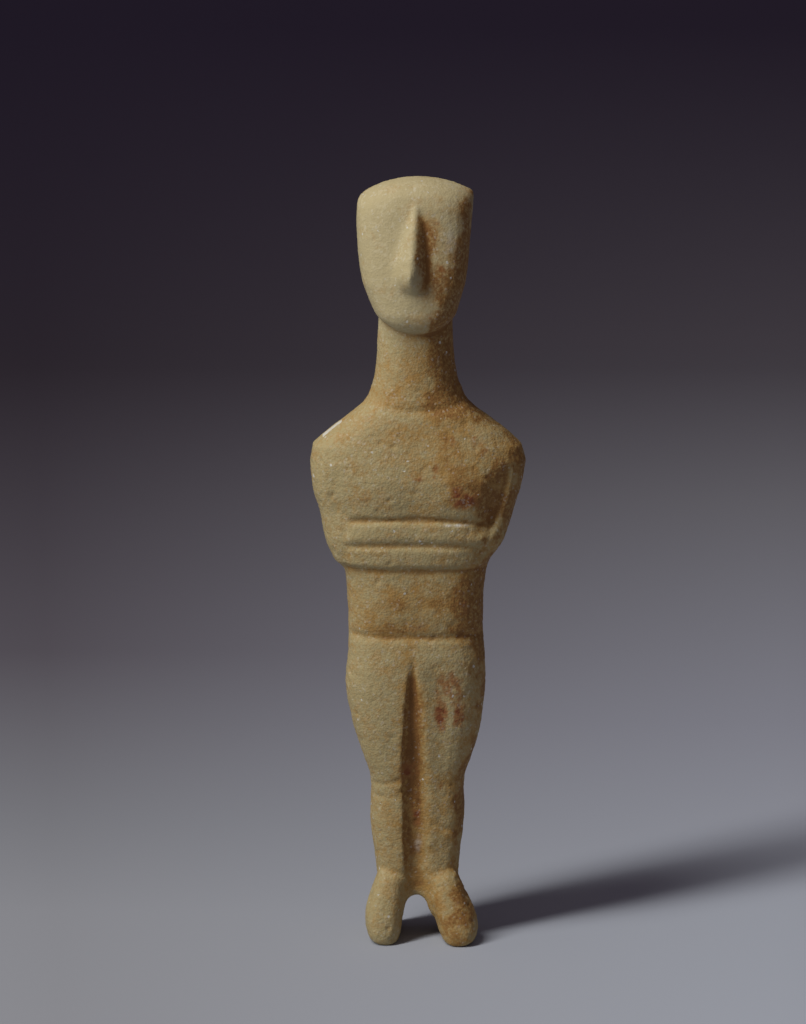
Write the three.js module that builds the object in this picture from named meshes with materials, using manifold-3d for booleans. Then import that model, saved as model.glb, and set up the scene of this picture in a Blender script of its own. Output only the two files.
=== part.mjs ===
// A folded-arm marble figurine of the Cycladic kind, carved from one flat block and standing on its feet.
// Millimetres. +Z is up, the figure faces -Y, and +X is to the right of someone facing it.
// The origin is on the ground, under the middle of the figure's bounding box.
import * as THREE from "three";
import { mergeVertices } from "three/addons/utils/BufferGeometryUtils.js";
import Module from "manifold-3d";

const { smoothstep, lerp } = THREE.MathUtils;

// Heights of the landmarks above the ground.
const CROWN = 200;
const CHIN = 160.8;
const NECKLINE = 143.3;
const NECK_DIP = 1.9; // how much lower the neckline runs at its middle
const ARM_TOP = 113.8;
const ARM_SPLIT = 107.2;
const ARM_BOTTOM = 100.2;
const BELLY_LINE = 82.6;
const CROTCH = 80.2;
const KNEE = 42;
const ANKLE = 18.2;
const ARCH_TOP = 11.6;

// Each form is a stack of level sections. A section is as wide as left + right, measured from x = 0, and
// as deep as front + back, measured from y = 0. mid is the y of its widest line.
const BODY = {
  shins: { z: 4, left: 9.4, right: 10.4, front: 7, back: 5.2, mid: 0 },
  ankles: { z: 18.5, left: 10.8, right: 11, front: 8, back: 6.4, mid: 0 },
  calves: { z: 34, left: 12.4, right: 12.4, front: 8.9, back: 8.8, mid: 0.6 },
  knees: { z: KNEE, left: 12, right: 12.1, front: 9.2, back: 7.6, mid: -0.8 },
  lowerThighs: { z: 48.2, left: 13.8, right: 14, front: 10, back: 8.2, mid: -0.9 },
  thighs: { z: 57, left: 16.6, right: 16.4, front: 10.9, back: 9.8, mid: -0.4 },
  hips: { z: 69.5, left: 18.8, right: 17.8, front: 11.4, back: 11.2, mid: 0 },
  pelvis: { z: 77.5, left: 18, right: 17.5, front: 11.1, back: 10.2, mid: 0 },
  underBelly: { z: 83.6, left: 17.9, right: 17, front: 10.6, back: 9.2, mid: 0 },
  waist: { z: 90, left: 18.1, right: 17, front: 11, back: 8.8, mid: 0 },
  underArms: { z: 98.6, left: 18.8, right: 17.8, front: 11, back: 8.6, mid: -0.3 },
  leftElbow: { z: 102.4, left: 22, right: 19, front: 11.7, back: 8.7, mid: -0.4 },
  rightElbow: { z: 107, left: 23.8, right: 22.3, front: 12, back: 8.8, mid: -0.4 },
  armTops: { z: 114.6, left: 25.3, right: 24.8, front: 11.7, back: 9.1, mid: -0.3 },
  chest: { z: 122, left: 27.3, right: 27, front: 12.1, back: 9.5, mid: 0 },
  shoulders: { z: 127.7, left: 27.7, right: 27.9, front: 11.6, back: 9.3, mid: 0.2 },
  shoulderTops: { z: 131.4, left: 27.1, right: 26.9, front: 11, back: 8.9, mid: 0.3 },
  slope: { z: 137.8, left: 19.4, right: 19.4, front: 9.7, back: 8.5, mid: 0.4 },
  neckFoot: { z: 143.6, left: 13, right: 12.5, front: 8.7, back: 8.3, mid: 0.4 },
  neck: { z: 151, left: 10.8, right: 9.8, front: 8.1, back: 8.1, mid: 0.4 },
  neckTop: { z: 168, left: 9.8, right: 8.7, front: 7.4, back: 8, mid: 0.4 },
};
const HEAD = {
  chin: { z: CHIN, left: 11.2, right: 10.1, front: 11.3, back: 6.6, mid: -1 },
  mouth: { z: 166.2, left: 11.4, right: 10.2, front: 11.6, back: 7.5, mid: -0.7 },
  cheeks: { z: 173, left: 14, right: 12.1, front: 10.9, back: 8.8, mid: 0 },
  eyes: { z: 182, left: 15.3, right: 13.2, front: 9.2, back: 10, mid: 0.8 },
  brow: { z: 190, left: 15.6, right: 13.7, front: 7.6, back: 10.4, mid: 1.8 },
  crown: { z: CROWN, left: 15.4, right: 14.3, front: 5.7, back: 10, mid: 2.8 },
};
// The ridge runs down the middle of these sections, so it drifts a little to the left.
const NOSE = {
  base: { z: 171.4, left: 4.8, right: 3.8, front: 11.2, back: 0, mid: -8 },
  nostrils: { z: 173.8, left: 7, right: 3.4, front: 14, back: 0, mid: -8 },
  tip: { z: 176.6, left: 7, right: 3.2, front: 15.2, back: 0, mid: -8 },
  ridge: { z: 184, left: 5.6, right: 3, front: 12.3, back: 0, mid: -6.5 },
  bridge: { z: 191, left: 3.8, right: 2.4, front: 8.9, back: 0, mid: -5 },
  forehead: { z: 196.5, left: 2.2, right: 1.4, front: 5.1, back: 0, mid: -3 },
};
// The feet are spread stumps with flat soles; the right one turns out further.
const LEFT_FOOT = {
  sole: { z: 0, left: 11.4, right: -5.2, front: 11.4, back: 6.2, mid: -3.4 },
  welt: { z: 1, left: 12.8, right: -4.5, front: 12.3, back: 7, mid: -3.4 },
  toes: { z: 3.6, left: 13.7, right: -4, front: 12.6, back: 7.2, mid: -3.4 },
  ball: { z: 7, left: 13.9, right: -3.6, front: 12, back: 7.2, mid: -3 },
  instep: { z: 11, left: 13.2, right: -3.2, front: 11, back: 6.8, mid: -2 },
  ankle: { z: 17, left: 11.3, right: -2.8, front: 9.1, back: 6.4, mid: 0 },
  shin: { z: 19, left: 10.6, right: -3.4, front: 7.2, back: 5.6, mid: 0 },
};
const RIGHT_FOOT = {
  sole: { z: 0, left: -7.4, right: 14, front: 12.6, back: 6.2, mid: -4 },
  welt: { z: 1, left: -6.4, right: 15.4, front: 13.5, back: 7, mid: -4 },
  toes: { z: 3.6, left: -5.3, right: 16.2, front: 13.7, back: 7.2, mid: -4 },
  ball: { z: 7, left: -4.4, right: 15.7, front: 12.9, back: 7.2, mid: -3.4 },
  instep: { z: 11, left: -3.2, right: 14.2, front: 11.5, back: 6.8, mid: -2 },
  ankle: { z: 17, left: -2.8, right: 11.5, front: 9.2, back: 6.4, mid: 0 },
  shin: { z: 19, left: -3.4, right: 10.7, front: 7.2, back: 5.6, mid: 0 },
};
// Share of a foot's width lost at the heel, all on the outer side.
const HEEL_TAPER = { left: 0.34, right: 0.42 };
// The valleys between the legs, as the stone that is cut away. They die out upwards at the crotch, and
// leave a web of stone between the shins.
const FRONT_CLEFT = {
  web: { z: 2, left: 3.9, right: 3.4, front: 22, back: -4.9, mid: -8.2 },
  ankles: { z: 22, left: 4, right: 3.6, front: 22, back: -6.1, mid: -9 },
  calves: { z: 34, left: 4.3, right: 4, front: 22, back: -6.8, mid: -9.8 },
  knees: { z: 43, left: 4.5, right: 3.8, front: 22, back: -7.2, mid: -10.2 },
  lowerThighs: { z: 50, left: 4.4, right: 3, front: 22, back: -8.1, mid: -11 },
  thighs: { z: 62, left: 3.7, right: 1.9, front: 22, back: -9.5, mid: -12 },
  upperThighs: { z: 72, left: 3.1, right: 0.9, front: 22, back: -10.4, mid: -12.5 },
  crotch: { z: CROTCH, left: 1.7, right: -0.7, front: 22, back: -11, mid: -12.5 },
};
const BACK_CLEFT = {
  web: { z: 2, left: 2.8, right: 2.9, front: -2.2, back: 22, mid: 13 },
  ankles: { z: 24, left: 2.9, right: 2.9, front: -4, back: 22, mid: 13 },
  knees: { z: 45, left: 2.8, right: 2.8, front: -4.8, back: 22, mid: 13 },
  thighs: { z: 60, left: 2.1, right: 1.7, front: -7.6, back: 22, mid: 14 },
  buttocks: { z: 77, left: 0.7, right: 0.3, front: -10.8, back: 22, mid: 15 },
};

// Squareness of the sections: 2 is an ellipse, and more is boxier.
const SLAB = { front: 2.9, back: 2.7 };
const NECK = { front: 2.1, back: 2.2 };
const FACE = { front: 2.8, back: 2.4 };
const RIDGE = { front: 1.3, back: 2 };
const STUMP = { front: 2.9, back: 2.5 };
const VALLEY = { front: 2.6, back: 2 };

const BODY_SIDES = 48;
const HEAD_SIDES = 36;
const FOOT_SIDES = 24;
const NOSE_SIDES = 18;
const CLEFT_SIDES = 20;
const COARSE_STEP = 4.2; // height of a plain course of facets
const FINE_STEP = 0.5; // courses never lie closer than this
const GROOVE_COURSES = [-1.7, -0.8, 0, 0.8, 1.7]; // courses around a carved line, from its middle

// A smooth curve through values at rising heights, with no overshoot between them.
function curveThrough(heights, values) {
  const slopes = heights.slice(1).map((z, i) => (values[i + 1] - values[i]) / (z - heights[i]));
  const tangents = values.map((value, i) => {
    if (i === 0) return slopes[0];
    if (i === values.length - 1) return slopes[i - 1];
    const [below, above] = [slopes[i - 1], slopes[i]];
    return below * above <= 0 ? 0 : (2 * below * above) / (below + above);
  });
  return (z) => {
    let i = 0;
    while (i < slopes.length - 1 && z > heights[i + 1]) i += 1;
    const span = heights[i + 1] - heights[i];
    const t = THREE.MathUtils.clamp((z - heights[i]) / span, 0, 1);
    const rise = t * t * (3 - 2 * t);
    return (
      lerp(values[i], values[i + 1], rise) +
      span * t * (1 - t) * ((1 - t) * tangents[i] - t * tangents[i + 1])
    );
  };
}

// The section of a form at any height, between its named ones.
function sectionsOf(form) {
  const named = Object.values(form);
  const heights = named.map((section) => section.z);
  const curve = (size) => curveThrough(heights, named.map((section) => section[size]));
  const [left, right, front, back, mid] = ["left", "right", "front", "back", "mid"].map(curve);
  return (z) => ({ left: left(z), right: right(z), front: front(z), back: back(z), mid: mid(z) });
}

// A closed ring of evenly spaced points round a section, from the middle of the back and counter-clockwise
// as seen from above.
function ringOf({ left, right, front, back, mid }, z, square, sides) {
  const fine = 12 * sides;
  const half = (left + right) / 2;
  const centre = (right - left) / 2;
  const power = (value, squareness) => Math.sign(value) * Math.abs(value) ** (2 / squareness);
  const outline = Array.from({ length: fine + 1 }, (_, i) => {
    const angle = Math.PI * (0.5 + (2 * i) / fine);
    const [across, along] = [Math.cos(angle), Math.sin(angle)];
    const squareness = along > 0 ? square.back : square.front;
    const depth = along > 0 ? back - mid : front + mid;
    const x = centre + half * power(across, squareness);
    return new THREE.Vector3(x, mid + depth * power(along, squareness), z);
  });
  const lengths = [0];
  for (let i = 1; i <= fine; i += 1) lengths.push(lengths[i - 1] + outline[i].distanceTo(outline[i - 1]));
  const ring = [];
  for (let side = 0, i = 0; side < sides; side += 1) {
    const wanted = (lengths[fine] * side) / sides;
    while (lengths[i + 1] < wanted) i += 1;
    const share = (wanted - lengths[i]) / (lengths[i + 1] - lengths[i]);
    ring.push(outline[i].clone().lerp(outline[i + 1], share));
  }
  return ring;
}

// A closed geometry through a stack of rings, with a flat fan at each end.
function skin(rings) {
  const sides = rings[0].length;
  const points = rings.flat();
  const sum = (ring) => ring.reduce((total, point) => total.add(point), new THREE.Vector3());
  const middle = (ring) => sum(ring).divideScalar(sides);
  const bottom = points.push(middle(rings[0])) - 1;
  const top = points.push(middle(rings.at(-1))) - 1;
  const lastRing = (rings.length - 1) * sides;
  const faces = [];
  for (let side = 0; side < sides; side += 1) {
    const next = (side + 1) % sides;
    faces.push(bottom, next, side, top, lastRing + side, lastRing + next);
    for (let low = 0; low < lastRing; low += sides) {
      const high = low + sides;
      faces.push(low + side, low + next, high + next, low + side, high + next, high + side);
    }
  }
  return new THREE.BufferGeometry().setFromPoints(points).setIndex(faces);
}

// Heights of the courses from low to high: close round each carved line, and coarse between.
function courses(low, high, lines) {
  const close = lines.flatMap((line) => GROOVE_COURSES.map((offset) => line + offset));
  const inside = close.filter((z) => z > low + FINE_STEP && z < high - FINE_STEP).sort((a, b) => a - b);
  const kept = [low, ...inside.filter((z, i) => i === 0 || z - inside[i - 1] > FINE_STEP), high];
  return kept.flatMap((z, i) => {
    if (i === 0) return [z];
    const steps = Math.ceil((z - kept[i - 1]) / COARSE_STEP);
    return Array.from({ length: steps }, (_, step) => lerp(kept[i - 1], z, (step + 1) / steps));
  });
}

function loft(form, squareAt, sides, heights) {
  const sectionAt = sectionsOf(form);
  return skin(heights.map((z) => ringOf(sectionAt(z), z, squareAt(z), sides)));
}

// The trunk's squareness passes into the neck's above the shoulders.
function slabSquareness(z) {
  const share = smoothstep(z, 139, 146);
  return { front: lerp(SLAB.front, NECK.front, share), back: lerp(SLAB.back, NECK.back, share) };
}

// 1 inside low to high, fading to 0 over fade beyond each end.
const within = (value, low, high, fade) =>
  smoothstep(value, low - fade, low) * (1 - smoothstep(value, high, high + fade));
const dent = (distance, width, depth) => -depth * Math.exp(-((distance / width) ** 2));
const swell = (x, z, halfWidth, halfHeight, rise) =>
  rise * Math.exp(-((x / halfWidth) ** 2) - (z / halfHeight) ** 2);

// How far the carving lifts (+) or sinks (-) the front at x, z.
function frontRelief(x, z) {
  const sag = (x > 0 ? 1.5 : 0.5) * (x / 17) ** 2; // the forearms sag towards the elbows
  const upperForearm = z - (ARM_TOP + ARM_SPLIT) / 2 + sag;
  const lowerForearm = z - (ARM_SPLIT + ARM_BOTTOM) / 2 + sag;
  // How far inside the upper arm's edge.
  const toArm = 23 - 5 * smoothstep(126 - z, 0, 20) - Math.abs(x);
  const hollow = toArm > 0 ? Math.max(0, 1 - toArm / 8) ** 2 : Math.max(0, 1 + toArm / 1.8) ** 2;
  return (
    dent(z - NECKLINE + NECK_DIP * (1 - (x / 12) ** 2), 1.2, 0.3) * within(x, -11, 11, 1) +
    swell(x + 9, z - 121, 8, 7, 0.5) +
    swell(x - 9, z - 122, 8, 7, 0.8) -
    (x > 0 ? 2 : 0.6) * hollow * within(z, 113, 122, 5) +
    swell(x, upperForearm, 30, 2.6, 0.5) +
    swell(x, lowerForearm, 30, 2.6, 0.4) +
    dent(z - ARM_TOP + sag, 0.85, 0.7) * within(x, -17, 16.5, 1.5) +
    dent(z - ARM_SPLIT + sag, 1, 0.6) * within(x, -18, 17.5, 1.5) +
    dent(z - ARM_BOTTOM, 1.1, 0.5) +
    dent(z - BELLY_LINE, 1.2, 0.5) +
    dent(x - 5, 3.2, 0.9) * within(z, 24, 70, 8) +
    dent(z - ANKLE, 1, 0.3) * within(Math.abs(x), 3.5, 9.5, 1.5)
  );
}

// The same for the back, which is plainer.
function backRelief(x, z) {
  return (
    dent(z - NECKLINE + 4.5 - 0.4 * Math.abs(x), 0.8, 0.6) * within(x, -12, 12, 1) +
    dent(x + 0.4, 1.3, 0.8) * within(z, 88, 132, 5) +
    dent(Math.abs(x) - 19 + 0.25 * (128 - z), 1.3, 0.6) * within(z, 104, 122, 5) +
    swell(x + 9, z - 69, 8, 9, 1.1) +
    swell(x - 8.5, z - 69, 8, 9, 1.1) +
    dent(z - KNEE, 1.2, 0.5) * within(Math.abs(x), 3.5, 10, 1.5)
  );
}

// Moves each point of the body in or out by the relief, along the surface's own normal.
function carve(geometry) {
  geometry.computeVertexNormals();
  const points = geometry.getAttribute("position");
  const normals = geometry.getAttribute("normal");
  const point = new THREE.Vector3();
  const normal = new THREE.Vector3();
  for (let i = 0; i < points.count; i += 1) {
    point.fromBufferAttribute(points, i);
    normal.fromBufferAttribute(normals, i);
    const facing = smoothstep(Math.abs(normal.y), 0.05, 0.6);
    const relief = normal.y < 0 ? frontRelief(point.x, point.z) : backRelief(point.x, point.z);
    point.addScaledVector(normal, facing * relief);
    points.setXYZ(i, point.x, point.y, point.z);
  }
  return geometry;
}

// Closes the head under the chin and over the crown. The crown's edge bends down to its two crisp corners,
// and the chin's edge bends up at its sides.
function roundHead(geometry, chinHeight, crownHeight) {
  const middleY = curveThrough([CHIN, CROWN], [-5, 3.4]);
  const close = (t, squareness) => (1 - t ** squareness) ** (1 / squareness);
  const points = geometry.getAttribute("position");
  for (let i = 0; i < points.count; i += 1) {
    const [x, y, z] = [points.getX(i), points.getY(i), points.getZ(i)];
    const up = Math.max(0, z - CROWN + crownHeight) / crownHeight;
    const down = Math.max(0, CHIN + chinHeight - z) / chinHeight;
    const across = x * close(up, x > 0 ? 20 : 9) * close(down, 2.2);
    const sag = (x > 0 ? 3.3 : 3.7) * Math.abs(across / 14) ** 2.1 * smoothstep(z, 184, CROWN);
    const lift = 1.6 * (across / 9) ** 2 * (1 - smoothstep(z, CHIN, CHIN + 9));
    const along = close(up, 2.1) * close(down, 2.4);
    points.setXYZ(i, across, lerp(middleY(z), y, along), z - sag + lift);
  }
  return geometry;
}

// Narrows a foot behind its ball by drawing its outer side in.
function taperHeel(geometry, side, taper) {
  const ball = -7;
  const heel = 7;
  const inner = side * 3;
  const points = geometry.getAttribute("position");
  for (let i = 0; i < points.count; i += 1) {
    const width = 1 - taper * smoothstep(points.getY(i), ball, heel);
    points.setX(i, inner + (points.getX(i) - inner) * width);
  }
  return geometry;
}

const wasm = await Module();
wasm.setup();

function solid(geometry) {
  const bare = geometry.clone();
  bare.deleteAttribute("normal");
  bare.deleteAttribute("uv");
  const merged = mergeVertices(bare, 1e-4);
  return new wasm.Manifold(
    new wasm.Mesh({
      numProp: 3,
      vertProperties: merged.getAttribute("position").array,
      triVerts: new Uint32Array(merged.getIndex().array),
    }),
  );
}

function geometryOf(manifold) {
  const { vertProperties, triVerts } = manifold.getMesh();
  return new THREE.BufferGeometry()
    .setAttribute("position", new THREE.BufferAttribute(vertProperties, 3))
    .setIndex(new THREE.BufferAttribute(triVerts, 1));
}

// Neck, trunk and legs in one slab, carved on both faces.
function makeBody() {
  const lines = [ANKLE, BELLY_LINE, ARM_BOTTOM, ARM_SPLIT, ARM_TOP, NECKLINE - NECK_DIP, NECKLINE];
  const heights = courses(BODY.shins.z, BODY.neckTop.z, lines);
  return carve(loft(BODY, slabSquareness, BODY_SIDES, heights));
}

// The stone cut away between the legs on one face.
function makeCleft(form) {
  const sections = Object.values(form);
  return loft(form, () => VALLEY, CLEFT_SIDES, courses(sections[0].z, sections.at(-1).z, []));
}

// A shield-shaped head, tipped back, with its chin proud of the neck.
function makeHead() {
  const chinHeight = 5;
  const crownHeight = 7;
  const rounding = [0.01, 0.04, 0.1, 0.2, 0.35, 0.6, 1];
  const heights = [
    ...rounding.map((share) => CHIN + chinHeight * share),
    ...courses(CHIN + chinHeight, CROWN - crownHeight, []).slice(1, -1),
    ...rounding.map((share) => CROWN - crownHeight * share).reverse(),
  ];
  return roundHead(loft(HEAD, () => FACE, HEAD_SIDES, heights), chinHeight, crownHeight);
}

// A long ridge, low at the forehead, with a sloping underside above the mouth.
function makeNose() {
  const underside = [NOSE.base.z, 172.4, NOSE.nostrils.z, 175.2];
  const heights = [...underside, ...courses(NOSE.tip.z, NOSE.forehead.z, [])];
  return loft(NOSE, () => RIDGE, NOSE_SIDES, heights);
}

function makeFoot(form, side, taper) {
  const heights = [0, 0.3, 0.8, 1.8, 3.6, 6.6, 9, 11, 14, 17, 18, 19];
  return taperHeel(loft(form, () => STUMP, FOOT_SIDES, heights), side, taper);
}

// The gap under the web of stone between the ankles: a round-topped opening, wider at the ground.
function makeArch() {
  const spring = 8.4;
  const outline = new THREE.Shape()
    .moveTo(8.5, -1)
    .lineTo(2.9, spring)
    .absellipse(-0.2, spring, 3.1, ARCH_TOP - spring, 0, Math.PI, false)
    .lineTo(-5, -1);
  const depth = 30;
  return new THREE.ExtrudeGeometry(outline, { depth, bevelEnabled: false, curveSegments: 16 })
    .rotateX(Math.PI / 2)
    .translate(0, depth / 2, 0);
}

function makeFigurine() {
  const figure = solid(makeBody())
    .subtract(solid(makeCleft(FRONT_CLEFT)))
    .subtract(solid(makeCleft(BACK_CLEFT)))
    .subtract(solid(makeArch()))
    .add(solid(makeHead()))
    .add(solid(makeNose()))
    .add(solid(makeFoot(LEFT_FOOT, -1, HEEL_TAPER.left)))
    .add(solid(makeFoot(RIGHT_FOOT, 1, HEEL_TAPER.right)));
  const marble = new THREE.MeshStandardMaterial({ color: 0xa99a76, roughness: 0.75, metalness: 0 });
  const mesh = new THREE.Mesh(geometryOf(figure), marble);
  mesh.name = "figurine";
  const middle = new THREE.Box3().setFromObject(mesh).getCenter(new THREE.Vector3());
  mesh.position.set(-middle.x, -middle.y, 0);
  return mesh;
}

const figurine = new THREE.Group();
figurine.add(makeFigurine());

export default figurine;
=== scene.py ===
"""A folded-arm marble figurine of weathered, coarse-grained stone, on a sheet of paper under one soft lamp.

Lengths are in millimetres while the stone is worked, and in metres in the scene. The figure faces -Y and +Z
is up.
"""

import math

import bpy
import numpy as np
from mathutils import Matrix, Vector, noise


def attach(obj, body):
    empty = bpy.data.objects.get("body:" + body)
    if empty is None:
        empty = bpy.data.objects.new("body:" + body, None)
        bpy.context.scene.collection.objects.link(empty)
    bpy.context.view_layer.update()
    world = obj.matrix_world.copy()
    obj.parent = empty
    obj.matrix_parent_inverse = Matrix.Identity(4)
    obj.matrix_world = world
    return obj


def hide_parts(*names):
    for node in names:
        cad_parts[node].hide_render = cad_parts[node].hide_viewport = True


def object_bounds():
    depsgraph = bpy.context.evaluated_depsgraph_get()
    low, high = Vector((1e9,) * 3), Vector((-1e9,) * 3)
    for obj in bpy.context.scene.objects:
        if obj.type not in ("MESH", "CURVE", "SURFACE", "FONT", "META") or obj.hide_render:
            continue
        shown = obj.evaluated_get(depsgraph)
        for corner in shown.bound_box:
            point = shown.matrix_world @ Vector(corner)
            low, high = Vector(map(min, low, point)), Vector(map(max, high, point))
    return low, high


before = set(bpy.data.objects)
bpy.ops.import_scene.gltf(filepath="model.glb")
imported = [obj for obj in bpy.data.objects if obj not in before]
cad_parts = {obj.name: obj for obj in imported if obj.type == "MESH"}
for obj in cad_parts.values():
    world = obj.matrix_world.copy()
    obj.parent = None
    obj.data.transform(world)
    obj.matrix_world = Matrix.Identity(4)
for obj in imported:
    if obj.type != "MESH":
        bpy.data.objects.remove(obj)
cad_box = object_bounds()

MM = 0.001
HEIGHT = (cad_box[1].z - cad_box[0].z) / MM
FULL_HEIGHT = 200  # the height that the camera's distances are given for

# The stone's mesh.
VOXEL = 0.51  # side of a mesh square
PULL_IN = 0.5  # share of the way that a point moves towards its neighbours
LET_OUT = -0.52  # and back out again, so that the form doesn't shrink

# Where one noise or grain pattern lies from the next.
NOISE_STEP = np.array([17.3, 5.9, 11.1])
GRAIN_STEP = np.array([3.7, 7.1, 1.9])

# Landmarks: the figure's own middle line along X, and heights above the ground.
MIDLINE = -0.1
NECKLINE = 141.4
ARM_TOP = 113.8
ARM_SPLIT = 107.2
ARM_BOTTOM = 100.2
BELLY_LINE = 82.6
LEFT_KNEE = 43.2
LEFT_SHIN = 39.2
RIGHT_KNEE = 30.8
ANKLE = 18.2

# Stains on the front. Each is its middle (x, z), its half sizes and its strength.
RUST_SPOTS = [
    ((6.1, 62.0), (1.5, 3.4), 1.6),
    ((10.7, 61.8), (1.5, 3.4), 1.5),
    ((8.4, 70.0), (3.6, 3.6), 0.8),
    ((10.2, 119.9), (1.7, 2.6), 1.4),
    ((13.6, 119.0), (2.5, 1.8), 1.3),
    ((4.6, 126.5), (1.0, 3.0), 0.62),
    ((-0.2, 124.7), (2.0, 1.6), 0.55),
    ((9.0, 134.1), (1.4, 1.4), 0.5),
    ((15.1, 134.1), (1.6, 2.0), 0.55),
    ((16.9, 131.1), (1.6, 1.6), 0.5),
    ((-6.5, 131.4), (1.3, 1.1), 0.42),
    ((-13.4, 119.3), (1.6, 2.2), 0.45),
    ((-0.2, 85.4), (3.6, 1.6), 0.45),
    ((12.2, 90.9), (1.4, 3.6), 0.5),
    ((-2.2, 46.4), (2.6, 3.0), 0.9),
    ((-0.3, 34.5), (1.2, 1.1), 1.0),
    ((0.2, 31.7), (1.5, 1.2), 1.0),
    ((5.9, 42.4), (0.9, 1.3), 0.65),
    ((10.3, 39.4), (0.8, 0.8), 0.7),
    ((10.1, 11.2), (0.9, 0.9), 0.6),
    ((6.1, 178.0), (1.5, 1.7), 0.5),
    ((4.8, 188.9), (0.9, 1.2), 0.55),
    ((3.0, 166.1), (1.3, 1.2), 0.45),
]
# Patches of the orange-brown patina, laid out like the stains. Those on the right of the jaw, chin and neck,
# in the hollow between the chest and the right arm, and on the belly's right flank are partly painted shade,
# on the side turned from the lamp.
PATINA_AND_SHADE_PATCHES = [
    ((3.6, 184.5), (3.2, 9.0), 0.8),
    ((5.0, 178.0), (3.4, 5.0), 0.55),
    ((10.0, 170.0), (5.5, 9.0), 2.0),
    ((7.5, 163.0), (5.0, 3.6), 1.4),
    ((12.5, 180.0), (2.4, 11.0), 0.8),
    ((2.2, 182.0), (1.6, 10.0), 0.8),
    ((4.0, 164.5), (5.0, 3.6), 0.9),
    ((7.5, 152.0), (5.0, 12.0), 1.7),
    ((0.0, 149.0), (14.0, 8.0), 0.5),
    ((6.0, 142.5), (5.0, 2.2), 0.9),
    ((-8.6, 144.0), (3.4, 3.0), 0.7),
    ((0.0, 137.0), (20.0, 5.0), 0.35),
    ((10.0, 126.0), (12.0, 10.0), 0.75),
    ((19.0, 120.0), (4.5, 8.0), 1.6),
    ((1.0, 91.0), (24.0, 8.0), 0.75),
    ((-9.4, 92.2), (2.4, 3.4), 0.45),
    ((13.8, 91.0), (4.5, 9.0), 1.6),
    ((0.0, 84.5), (20.0, 1.8), 0.5),
    ((-1.5, 60.0), (2.8, 14.0), 1.4),
    ((-0.5, 35.0), (3.4, 22.0), 1.1),
    ((7.5, 31.0), (4.0, 6.0), 0.6),
    ((-7.4, 74.4), (1.8, 1.4), 0.6),
    ((9.0, 42.0), (4.0, 7.0), 0.6),
    ((-8.0, 30.0), (6.0, 14.0), 0.4),
    ((10.5, 9.0), (7.0, 9.0), 1.5),
]


# --------------------------------------------------------------------------------------- working the stone


def smoothstep(value, low, high):
    t = np.clip((value - low) / (high - low), 0, 1)
    return t * t * (3 - 2 * t)


def within(value, low, high, fade):
    """1 between low and high, fading to 0 over fade beyond each."""
    return smoothstep(value, low - fade, low) * (1 - smoothstep(value, high, high + fade))


def dent(distance, width, depth):
    """A rounded groove, as a height below the surface, at a distance from its middle line."""
    return -depth * np.exp(-((distance / width) ** 2))


def blob(x, z, middle, half):
    """A soft round patch: 1 at its middle (x, z), fading out past its half sizes."""
    return np.exp(-(((x - middle[0]) / half[0]) ** 2) - ((z - middle[1]) / half[1]) ** 2)


def stain(x, z, patches):
    """All the patches of one stain, laid over each other."""
    return sum(strength * blob(x, z, middle, half) for middle, half, strength in patches)


class Stone:
    """The figure's surface while it is worked.

    It holds the mesh's points in millimetres, and which points are joined to which.
    """

    def __init__(self, piece):
        self.mesh = piece.data
        self.points = self.read(self.mesh.vertices, "co") / MM
        edges = np.empty(len(self.mesh.edges) * 2, np.int32)
        self.mesh.edges.foreach_get("vertices", edges)
        ends = edges.reshape(-1, 2)
        self.start = np.concatenate([ends[:, 0], ends[:, 1]])
        self.end = np.concatenate([ends[:, 1], ends[:, 0]])
        self.degree = np.bincount(self.start, minlength=len(self.points))

    @staticmethod
    def read(items, name):
        values = np.empty(len(items) * 3, np.float32)
        items.foreach_get(name, values)
        return values.reshape(-1, 3).astype(float)

    def neighbours_mean(self, values):
        """Each point's mean over the points joined to it."""
        columns = values.reshape(len(values), -1)
        sums = [np.bincount(self.start, column[self.end], len(values)) for column in columns.T]
        return (np.stack(sums, 1) / self.degree[:, None]).reshape(values.shape)

    def blurred(self, values, rounds):
        for _ in range(rounds):
            values = self.neighbours_mean(values)
        return values

    def soften(self, rounds):
        """Rounds edges off without shrinking the form: each round pulls in, then lets out a little more."""
        for step in [PULL_IN, LET_OUT] * rounds:
            self.points += step * (self.neighbours_mean(self.points) - self.points)

    def wear_down(self, rounds, share):
        """Wears creases and edges away for good, where share is above 0."""
        for _ in range(rounds):
            self.points += PULL_IN * share[:, None] * (self.neighbours_mean(self.points) - self.points)

    def normals(self):
        self.write()
        return self.read(self.mesh.vertices, "normal")

    def raise_by(self, height):
        self.points += self.normals() * height[:, None]

    def write(self):
        self.mesh.vertices.foreach_set("co", (self.points * MM).astype(np.float32).ravel())
        self.mesh.update()

    def mask(self, name, values):
        """Keeps a value for each point on the mesh, for the material to read."""
        layer = self.mesh.attributes.new(name, "FLOAT", "POINT")
        layer.data.foreach_set("value", np.clip(values, 0, 1).astype(np.float32))

    def noise_at(self, size, seed, octaves=1):
        """Smooth noise from -1 to 1 whose lumps are about size millimetres across."""
        places = self.points / size + seed * NOISE_STEP
        if octaves == 1:
            return np.array([noise.noise(Vector(p)) for p in places])
        fade, finer = 0.7, 2.0
        return np.array([noise.fractal(Vector(p), fade, finer, octaves) for p in places])

    def grains_at(self, size, seed):
        """Grains of about size millimetres: 0 at the middle of each and 1 at the joints between them."""
        places = self.points / size + seed * GRAIN_STEP
        nearest = np.array([noise.voronoi(Vector(p))[0][:2] for p in places])
        joint_sharpness = 2.2
        return 1 - np.clip((nearest[:, 1] - nearest[:, 0]) * joint_sharpness, 0, 1)


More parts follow.
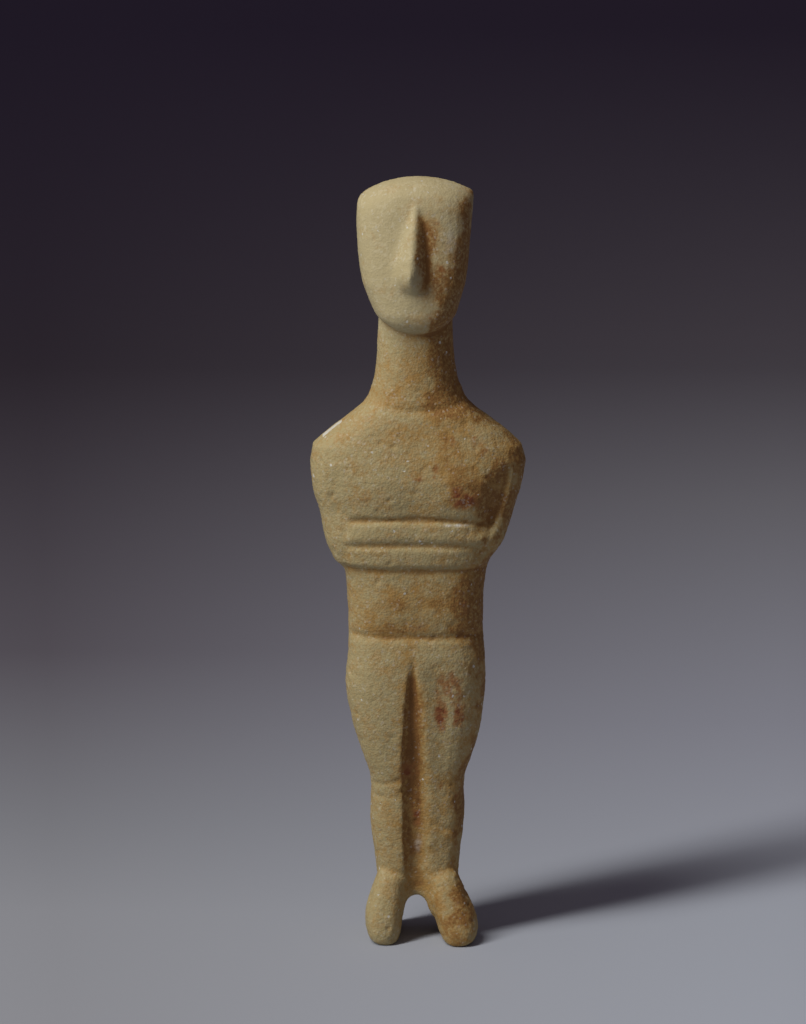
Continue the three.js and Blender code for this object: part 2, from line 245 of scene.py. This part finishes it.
def front_carving(x, z, ragged):
    """The fine carving of the front, as heights above the surface. x is from the middle line."""
    reach = np.abs(x)
    sag = np.where(x > 0, 1.5, 0.5) * (x / 17) ** 2
    neckline = dent(z - NECKLINE - 1.9 * (x / 12) ** 2, 0.8, 0.15) * within(x, -6, 11, 3)
    arms = dent(z - ARM_TOP + sag, 0.5, 0.3) * within(x, -16.5, 16.5, 1.2)
    arms += dent(z - ARM_SPLIT + sag, 0.6, 0.22) * within(x, -17.5, 17, 1.2)
    arms += dent(z - ARM_BOTTOM, 0.7, 0.15)
    arm_edge = 22.9 - 5 * smoothstep(126 - z, 0, 20)
    right_arm = dent(x - arm_edge, 0.8, 0.25) * within(z, 107, 125, 3)
    left_arm = dent(x + 18.8, 1.1, 0.25) * within(z, 101, 114, 3)
    belly = dent(z - BELLY_LINE, 0.7, 0.12)
    left_knee = dent(z - LEFT_KNEE - 0.22 * (x + 8), 0.7, 0.3) * within(x, -11.5, -4.5, 1)
    left_shin = dent(z - LEFT_SHIN, 0.8, 0.15) * within(x, -11.5, -5, 1)
    right_knee = dent(z - RIGHT_KNEE + 0.33 * (x - 7), 0.7, 0.3) * within(x, 4, 11, 1)
    ankles = dent(z - ANKLE, 0.8, 0.1) * within(reach, 3.5, 9.5, 1.5)
    carving = neckline + arms + right_arm + left_arm + belly + left_knee + left_shin + right_knee + ankles
    return carving * (1 + 0.7 * ragged)


def back_carving(x, z):
    """The lines of the back: a V below the neck and a shallow spine."""
    neckline = dent(z - NECKLINE + 2.6 - 0.4 * np.abs(x), 0.7, 0.35) * within(x, -12, 12, 1)
    spine = dent(x, 0.9, 0.3) * within(z, 88, 132, 6)
    return neckline + spine


def worn_places(x, z):
    """How far the front's sharp places are worn away, from 0 to 1."""
    nose_flank = within(x, -10.5, -4, 1.2) * within(z, 170, 193, 3)
    nose_ridge = blob(x, z, (-1.5, 181.0), (2.6, 10.0)) * 0.35
    cleft_edge = within(x, 1.5, 6.5, 1.5) * within(z, 20, 74, 4) * 0.8
    arm_edge = blob(x, z, (21.5, 118.5), (3.2, 10.0))
    feet = within(z, 4, 16, 2) * 0.5
    return np.clip(nose_flank + nose_ridge + cleft_edge + arm_edge + feet, 0, 1)


def carve(stone, x, z, normal):
    """Wears the sharp places down, then cuts the fine lines."""
    front = normal[:, 1] < 0
    facing = smoothstep(np.abs(normal[:, 1]), 0.05, 0.6)
    crown = smoothstep(normal[:, 2], 0.75, 0.95) * smoothstep(z, 192, 196)
    stone.wear_down(27, np.where(front, worn_places(x, z), crown))
    carving = np.where(front, front_carving(x, z, stone.noise_at(2.2, 7)), back_carving(x, z))
    stone.raise_by(facing * carving)
    stone.soften(2)


def weather(stone, z, normal):
    """Roughens the surface with dips, open grain joints, pits and nicks, less so on the smoother head."""
    off_ground = smoothstep(z, 0.3, 2)
    exposed = 1 - 0.55 * smoothstep(z, 158, 164)
    dips = stone.noise_at(9, 1, 2) * 0.14 + stone.noise_at(3.2, 2) * 0.06
    rough = 0.5 + 0.5 * smoothstep(stone.noise_at(14, 6), -0.5, 0.4)
    grains = stone.grains_at(1.15, 3)
    pits = smoothstep(stone.noise_at(1.7, 4), 0.38, 0.75)
    nicks = smoothstep(np.abs(normal[:, 0]), 0.5, 0.9) * smoothstep(stone.noise_at(2.3, 11), 0.25, 0.7)
    losses = rough * exposed * (0.11 * grains + 0.26 * pits + 0.4 * nicks)
    wear = exposed * dips - losses + exposed * 0.07 * stone.noise_at(1.1, 5)
    stone.raise_by(off_ground * wear)
    stone.points[:, 2] = np.maximum(stone.points[:, 2], 0)


def mask_hollows(stone, x, z, front, normal):
    """Masks what lies below the stone around it, where real patina gathers and painted shade darkens the
    recesses. The lit cheek is left out and stays bright.
    """
    hollow = ((stone.blurred(stone.points, 20) - stone.points) * normal).sum(1)
    hollow = stone.blurred(hollow, 2)
    lit_cheek = np.where(front, blob(x, z, (-7.0, 181.0), (6.0, 12.0)), 0)
    stone.mask("hollow", smoothstep(hollow, -0.05, 0.3) * (1 - np.clip(1.5 * lit_cheek, 0, 1)))


def mask_patina_and_shade(stone, x, z, normal):
    """Masks the orange-brown patina, with painted shade in it: patches on the front, the right flank, and a
    thin even coat behind. The brown on the right flank and in the right-hand patches is partly painted shade
    on the side turned from the lamp.
    """
    # The right-facing flank, turned from the lamp, gets more brown: partly real patina, partly painted shade.
    flank = smoothstep(normal[:, 0], 0.25, 0.85) * smoothstep(z, 5, 40)
    drift = 0.75 + 0.6 * stone.noise_at(6, 10, 3)
    seen = 1 - smoothstep(normal[:, 1], -0.3, 0.5)
    aged = seen * (stain(x, z, PATINA_AND_SHADE_PATCHES) + 1.1 * flank) + (1 - seen) * 0.3
    stone.mask("patina_and_shade", aged * np.clip(drift, 0.2, 1.5))


def mask_spots_breaks_and_highlights(stone, x, z, normal):
    """Masks the rust-red spots, the fresh white breaks and scrapes, and painted highlights on the left
    shoulder's top rim and the forearms' top lip.
    """
    front = normal[:, 1] < 0.1
    broken = 0.75 + 0.8 * stone.noise_at(1.5, 8) + 0.5 * stone.noise_at(0.8, 9)
    stone.mask("rust", np.where(front, stain(x, z, RUST_SPOTS) * np.clip(broken, 0, 1.5), 0))

    brink = smoothstep(normal[:, 2], 0.3, 0.6) * within(stone.points[:, 1], -0.2, 1.6, 1.4)
    # Painted highlight: the upward rim of the left shoulder, whitened as if it caught the lamp.
    shoulder_highlight = brink * within(x, -24.2, -19.7, 0.5) * within(z, 130, 139, 1) * np.clip(broken, 0.5, 0.75)
    crown = 0.3 * brink * within(x, 6, 13.8, 3) * smoothstep(z, 194, 197) * np.clip(broken, 0, 1)
    cheek = blob(x, z, (8.3, 184.7), (2.2, 6.0)) * 0.32
    shin_scrape = blob(x, z, (0.2, 26.4), (1.6, 3.6)) * 0.36
    # Painted highlight: a thin white line along the top lip of the forearms, where it catches the lamp.
    arm_lip_highlight = blob(x, z, (9.5, 112.4), (4.0, 0.5)) * 0.6
    scrapes_and_highlight = np.where(front, (cheek + shin_scrape + arm_lip_highlight) * np.clip(broken + 0.3, 0, 1.2), 0)
    stone.mask("fresh_breaks_and_highlights", shoulder_highlight + crown + scrapes_and_highlight)


def work_stone(piece):
    """Carves, wears and pits the figure's surface, and masks where its finish changes."""
    stone = Stone(piece)
    stone.soften(4)
    x = stone.points[:, 0] - MIDLINE
    z = stone.points[:, 2]  # stays in step with the points as they move
    blank = stone.normals()
    carve(stone, x, z, blank)
    weather(stone, z, blank)

    normal = stone.normals()
    mask_hollows(stone, x, z, blank[:, 1] < 0, normal)
    mask_spots_breaks_and_highlights(stone, x, z, normal)
    mask_patina_and_shade(stone, x, z, normal)
    stone.mask("pale", smoothstep(z, 156, 164))
    stone.write()


def figurine():
    """The whole figure: the carved block, remeshed finely enough to hold the wear of the stone."""
    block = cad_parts["figurine"]
    piece = bpy.data.objects.new("marble_figurine", block.data.copy())
    bpy.context.collection.objects.link(piece)
    remesh = piece.modifiers.new("fine squares", "REMESH")
    remesh.mode = "VOXEL"
    remesh.voxel_size = VOXEL * MM
    bpy.context.view_layer.update()
    piece_now = piece.evaluated_get(bpy.context.evaluated_depsgraph_get())
    fine = bpy.data.meshes.new_from_object(piece_now)
    piece.modifiers.clear()
    piece.data = fine
    work_stone(piece)
    fine.shade_smooth()
    fine.materials.clear()
    fine.materials.append(marble())
    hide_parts("figurine")
    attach(piece, "root")


# ----------------------------------------------------------------------------------------------- materials


class Socket:
    """An output socket that can be reckoned with: each operator adds a Math node."""

    def __init__(self, shader, source):
        self.shader = shader
        self.source = source

    def reckon(self, operation, *values, clamp=False):
        return self.shader.node(
            "ShaderNodeMath", {"operation": operation, "use_clamp": clamp}, dict(enumerate(values))
        )

    def __add__(self, other):
        return self.reckon("ADD", self, other)

    def __sub__(self, other):
        return self.reckon("SUBTRACT", self, other)

    def __mul__(self, other):
        return self.reckon("MULTIPLY", self, other)

    def __truediv__(self, other):
        return self.reckon("DIVIDE", self, other)

    def __radd__(self, other):
        return self.reckon("ADD", other, self)

    def __rsub__(self, other):
        return self.reckon("SUBTRACT", other, self)

    def __rmul__(self, other):
        return self.reckon("MULTIPLY", other, self)

    def __rtruediv__(self, other):
        return self.reckon("DIVIDE", other, self)

    def clamped(self):
        return self.reckon("ADD", self, 0, clamp=True)

    def between(self, low, high):
        """0 below low, 1 above high, smooth between."""
        return self.shader.node(
            "ShaderNodeMapRange",
            {"interpolation_type": "SMOOTHSTEP"},
            {"Value": self, "From Min": low, "From Max": high},
        )


class Shader:
    """A material's node tree, built by calls."""

    def __init__(self, name):
        self.material = bpy.data.materials.new(name)
        self.material.use_nodes = True
        self.tree = self.material.node_tree
        self.tree.nodes.clear()

    def node(self, kind, settings=None, inputs=None, output=0):
        """Adds a node: its settings first, then its inputs by name or number. Returns one of its outputs."""
        made = self.tree.nodes.new(kind)
        for name, value in (settings or {}).items():
            if name == "stops":
                self.set_stops(made.color_ramp.elements, value)
            else:
                setattr(made, name, value)
        for name, value in (inputs or {}).items():
            if isinstance(value, Socket):
                self.tree.links.new(value.source, made.inputs[name])
            else:
                made.inputs[name].default_value = value
        if made.outputs:
            return Socket(self, made.outputs[output])
        return None

    @staticmethod
    def set_stops(elements, stops):
        """Sets a colour ramp, which starts with two stops, to these places and colours."""
        for index, (place, colour) in enumerate(stops):
            stop = elements[index] if index < 2 else elements.new(place)
            stop.position = place
            stop.color = (*colour, 1)

    def attribute(self, name):
        return self.node("ShaderNodeAttribute", {"attribute_name": name}, output="Fac")

    def mix(self, share, first, second):
        """Mixes two colours."""
        tint = [c if isinstance(c, Socket) else (*c, 1) for c in (first, second)]
        return self.node("ShaderNodeMix", {"data_type": "RGBA"}, {0: share, 6: tint[0], 7: tint[1]}, output=2)

    def place(self):
        """The place on the object, in millimetres."""
        at = self.node("ShaderNodeTexCoord", output="Object")
        return self.node("ShaderNodeVectorMath", {"operation": "SCALE"}, {0: at, "Scale": 1 / MM})

    def noise(self, place, size, detail=2.0, rough=0.5):
        inputs = {"Vector": place, "Scale": 1 / size, "Detail": detail, "Roughness": rough}
        return self.node("ShaderNodeTexNoise", None, inputs)

    def cells(self, place, size, feature="F1", output="Distance"):
        inputs = {"Vector": place, "Scale": 1 / size}
        return self.node("ShaderNodeTexVoronoi", {"feature": feature}, inputs, output=output)

    def cell_tone(self, place, size, channel):
        """A tone of its own for each cell, from one channel of the cell's colour."""
        colour = self.cells(place, size, output="Color")
        return self.node("ShaderNodeSeparateColor", None, {0: colour}, output=channel)

    def bump(self, height, distance, strength):
        inputs = {"Height": height, "Distance": distance, "Strength": strength}
        return self.node("ShaderNodeBump", None, inputs)

    def finish(self, constants, links):
        """The surface: constants on its own sockets, and what varies linked in."""
        surface = self.node("ShaderNodeBsdfPrincipled", None, {**constants, **links})
        self.node("ShaderNodeOutputMaterial", None, {"Surface": surface})
        return self.material


def marble():
    """Coarse cream marble: sugary grains, orange-brown patina, rust spots and small bright crystals, with
    painted shade in the hollows and on the right side, and painted highlights and glints.
    """
    cream = (0.39, 0.32, 0.158)
    pale = (0.48, 0.415, 0.245)
    ochre = (0.36, 0.195, 0.042)
    # brown is the stone's real dark patina, and also painted shade on the right side and in the hollows.
    brown = (0.19, 0.072, 0.012)
    orange = (0.27, 0.11, 0.028)
    rust = (0.19, 0.048, 0.012)
    white = (0.66, 0.66, 0.60)
    grain_size = 0.75
    crystal_size = 0.55

    m = Shader("marble")
    place = m.place()
    hollow = m.attribute("hollow")
    patina_and_shade = m.attribute("patina_and_shade")
    stained = m.attribute("rust")
    fresh_breaks_and_highlights = m.attribute("fresh_breaks_and_highlights")
    head = m.attribute("pale")

    grain_tone = m.cell_tone(place, grain_size, 0)
    joints = 1 - m.cells(place, grain_size, "DISTANCE_TO_EDGE").between(0.0, 0.16)
    mottle = m.noise(place, 4.5, 4.0, 0.6)
    speckle = m.noise(place, 0.9, 3.0, 0.65)

    paleness = grain_tone.between(0.3, 1.0) * mottle.between(0.35, 0.6) * 0.7 + head * 0.5
    body = m.mix(paleness.clamped(), cream, pale)
    warmth = patina_and_shade + hollow * 0.5 + mottle.between(0.42, 0.7) * 0.5 + joints * 0.12 - head * 0.3
    warmth = warmth + (speckle - 0.5) * (2.0 - head)
    body = m.mix(warmth.clamped() * 0.85, body, ochre)
    # Painted shade and real patina: the hollows go brown.
    hollow_patina_and_shade = hollow.between(0.5, 1.0) * (0.2 + patina_and_shade)
    # Where the patina-and-shade mask is strong, speckled brown: real crust, and painted shade down the right
    # side.
    brown_crust_and_shade = patina_and_shade.between(0.5, 1.0) * speckle.between(0.3, 0.6) * 0.9
    body = m.mix((hollow_patina_and_shade + brown_crust_and_shade).clamped() * 0.8, body, brown)
    spots = stained * (0.4 + speckle * 1.2)
    body = m.mix(spots.between(0.08, 0.6) * 0.8, body, orange)
    body = m.mix(spots.between(0.55, 1.0) * 0.85, body, rust)
    # White for the fresh breaks and scrapes, and for the painted highlights on the shoulder and forearm lip.
    body = m.mix(fresh_breaks_and_highlights.between(0.15, 0.7) * 0.8, body, white)

    crystal_tone = m.cell_tone(place, crystal_size, 1)
    crystals = crystal_tone.between(0.93, 0.99)
    glints = crystal_tone.between(0.9975, 0.998)
    # Painted glints: the rare glint cells are whitened in the colour, besides their lower roughness.
    body = m.mix(crystals * 0.2 + glints * 0.5, body, white)

    roughness = 0.74 - glints * 0.5 - grain_tone.between(0.7, 1.0) * 0.1
    grain_height = m.cells(place, 0.62) * -1
    fine = m.noise(place, 0.35, 2.0, 0.6)
    height = (grain_height * 0.6 + fine * 0.5 + grain_tone * 0.25) * (1 - head * 0.4)
    normal = m.bump(height, 0.15 * MM, 1.0)
    links = {"Base Color": body, "Roughness": roughness, "Normal": normal}
    return m.finish({"Specular IOR Level": 0.4}, links)


# The paper's tones from the near edge to the far one, on its two sides: where each lies, and its colour. They
# are painted shade: the light's fall-off, darker towards the back and on the left.
PAPER_LEFT = [
    (0.05, (0.3, 0.315, 0.355)),
    (0.11, (0.245, 0.257, 0.293)),
    (0.26, (0.134, 0.125, 0.153)),
    (0.7, (0.08, 0.066, 0.09)),
    (0.97, (0.037, 0.027, 0.055)),
]
PAPER_RIGHT = [
    (0.05, (0.44, 0.48, 0.56)),
    (0.19, (0.37, 0.39, 0.47)),
    (0.45, (0.3, 0.305, 0.35)),
    (0.75, (0.175, 0.161, 0.195)),
    (0.97, (0.043, 0.032, 0.061)),
]
PAPER_NEAR = -0.05  # where the tones start, in front of the figure
PAPER_DEPTH = 1.35  # how far back they run
FAN_POINT = -0.86  # where the line between the two sides fans out from
FAN_SPREAD = 4.5  # how fast one side's tones give way to the other's


def sweep_paper():
    """Matt grey-lavender paper, with painted shade making it darker up the back of the sweep and on the left,
    and a faint tooth.
    """
    m = Shader("sweep paper")
    place = m.node("ShaderNodeTexCoord", output="Object")
    across = m.node("ShaderNodeSeparateXYZ", None, {0: place}, output="X")
    depth = m.node("ShaderNodeSeparateXYZ", None, {0: place}, output="Y")
    back = (depth - PAPER_NEAR) * (1 / PAPER_DEPTH)
    left = m.node("ShaderNodeValToRGB", {"stops": PAPER_LEFT}, {0: back})
    right = m.node("ShaderNodeValToRGB", {"stops": PAPER_RIGHT}, {0: back})
    slant = across / (depth - FAN_POINT)
    tone = m.mix((slant * FAN_SPREAD + 0.5).clamped(), left, right)
    tooth = m.noise(m.place(), 0.8, 3.0, 0.6)
    normal = m.bump(tooth, 0.05 * MM, 0.3)
    return m.finish({"Roughness": 0.85, "Specular IOR Level": 0.2}, {"Base Color": tone, "Normal": normal})


# ------------------------------------------------------------------------------------ floor, lamps, camera


def sweep():
    """A sheet that lies flat under the figure and curves up far behind it."""
    half_width, front, bend, radius, top = 3.0, -3.0, 0.9, 0.5, 1.6
    steps = 16
    profile = [(front, 0.0), (bend * 0.5, 0.0)]
    for step in range(steps + 1):
        angle = math.pi / 2 * step / steps
        profile.append((bend + radius * math.sin(angle), radius * (1 - math.cos(angle))))
    profile.append((bend + radius, top))
    corners = [(side * half_width, y, z) for y, z in profile for side in (-1, 1)]
    faces = [(2 * i, 2 * i + 1, 2 * i + 3, 2 * i + 2) for i in range(len(profile) - 1)]
    mesh = bpy.data.meshes.new("sweep")
    mesh.from_pydata(corners, [], faces)
    mesh.shade_smooth()
    mesh.materials.append(sweep_paper())
    floor = bpy.data.objects.new("sweep", mesh)
    bpy.context.collection.objects.link(floor)


def direction(azimuth, elevation):
    """The way from the figure to a place at that azimuth (0 in front, + to the right) and elevation."""
    a, e = math.radians(azimuth), math.radians(elevation)
    return Vector((math.sin(a) * math.cos(e), -math.cos(a) * math.cos(e), math.sin(e)))


def aim(thing, target):
    thing.rotation_euler = (target - thing.location).to_track_quat("-Z", "Y").to_euler()


def lamp(name, azimuth, elevation, distance, size, power, colour):
    """A rectangular lamp, aimed at the middle of the figure."""
    light = bpy.data.lights.new(name, "AREA")
    light.shape = "RECTANGLE"
    light.size, light.size_y = size
    light.energy = power
    light.color = colour
    holder = bpy.data.objects.new(name, light)
    bpy.context.collection.objects.link(holder)
    middle = Vector((0, 0, HEIGHT * MM * 0.5))
    holder.location = middle + distance * direction(azimuth, elevation)
    aim(holder, middle)


def lights():
    """One tall soft key at the upper left, and a weak even fill."""
    lamp(
        "tall soft key",
        azimuth=-56.9,
        elevation=48,
        distance=1.0,
        size=(0.15, 0.95),
        power=10.2,
        colour=(1.0, 0.97, 0.92),
    )
    world = bpy.data.worlds.new("studio")
    world.use_nodes = True
    background = world.node_tree.nodes["Background"]
    background.inputs["Color"].default_value = (1.0, 0.84, 0.95, 1)
    background.inputs["Strength"].default_value = 0.115
    bpy.context.scene.world = world


def camera():
    """A long lens, looking down a little, with the figure just right of the middle, low in the frame."""
    elevation = 12
    lens, sensor = 120.0, 36.0
    frame_height = 0.2638 * HEIGHT / FULL_HEIGHT
    distance = frame_height / 2 / math.tan(math.atan(sensor / 2 / lens))
    data = bpy.data.cameras.new("camera")
    data.lens = lens
    data.sensor_width = sensor
    holder = bpy.data.objects.new("camera", data)
    bpy.context.collection.objects.link(holder)
    target = Vector((-0.00385, 0, 0.1139)) * (HEIGHT / FULL_HEIGHT)
    holder.location = target + distance * direction(0, elevation)
    aim(holder, target)
    bpy.context.scene.camera = holder


def main():
    bpy.context.scene.view_settings.view_transform = "Standard"
    camera()
    lights()
    sweep()
    figurine()


main()
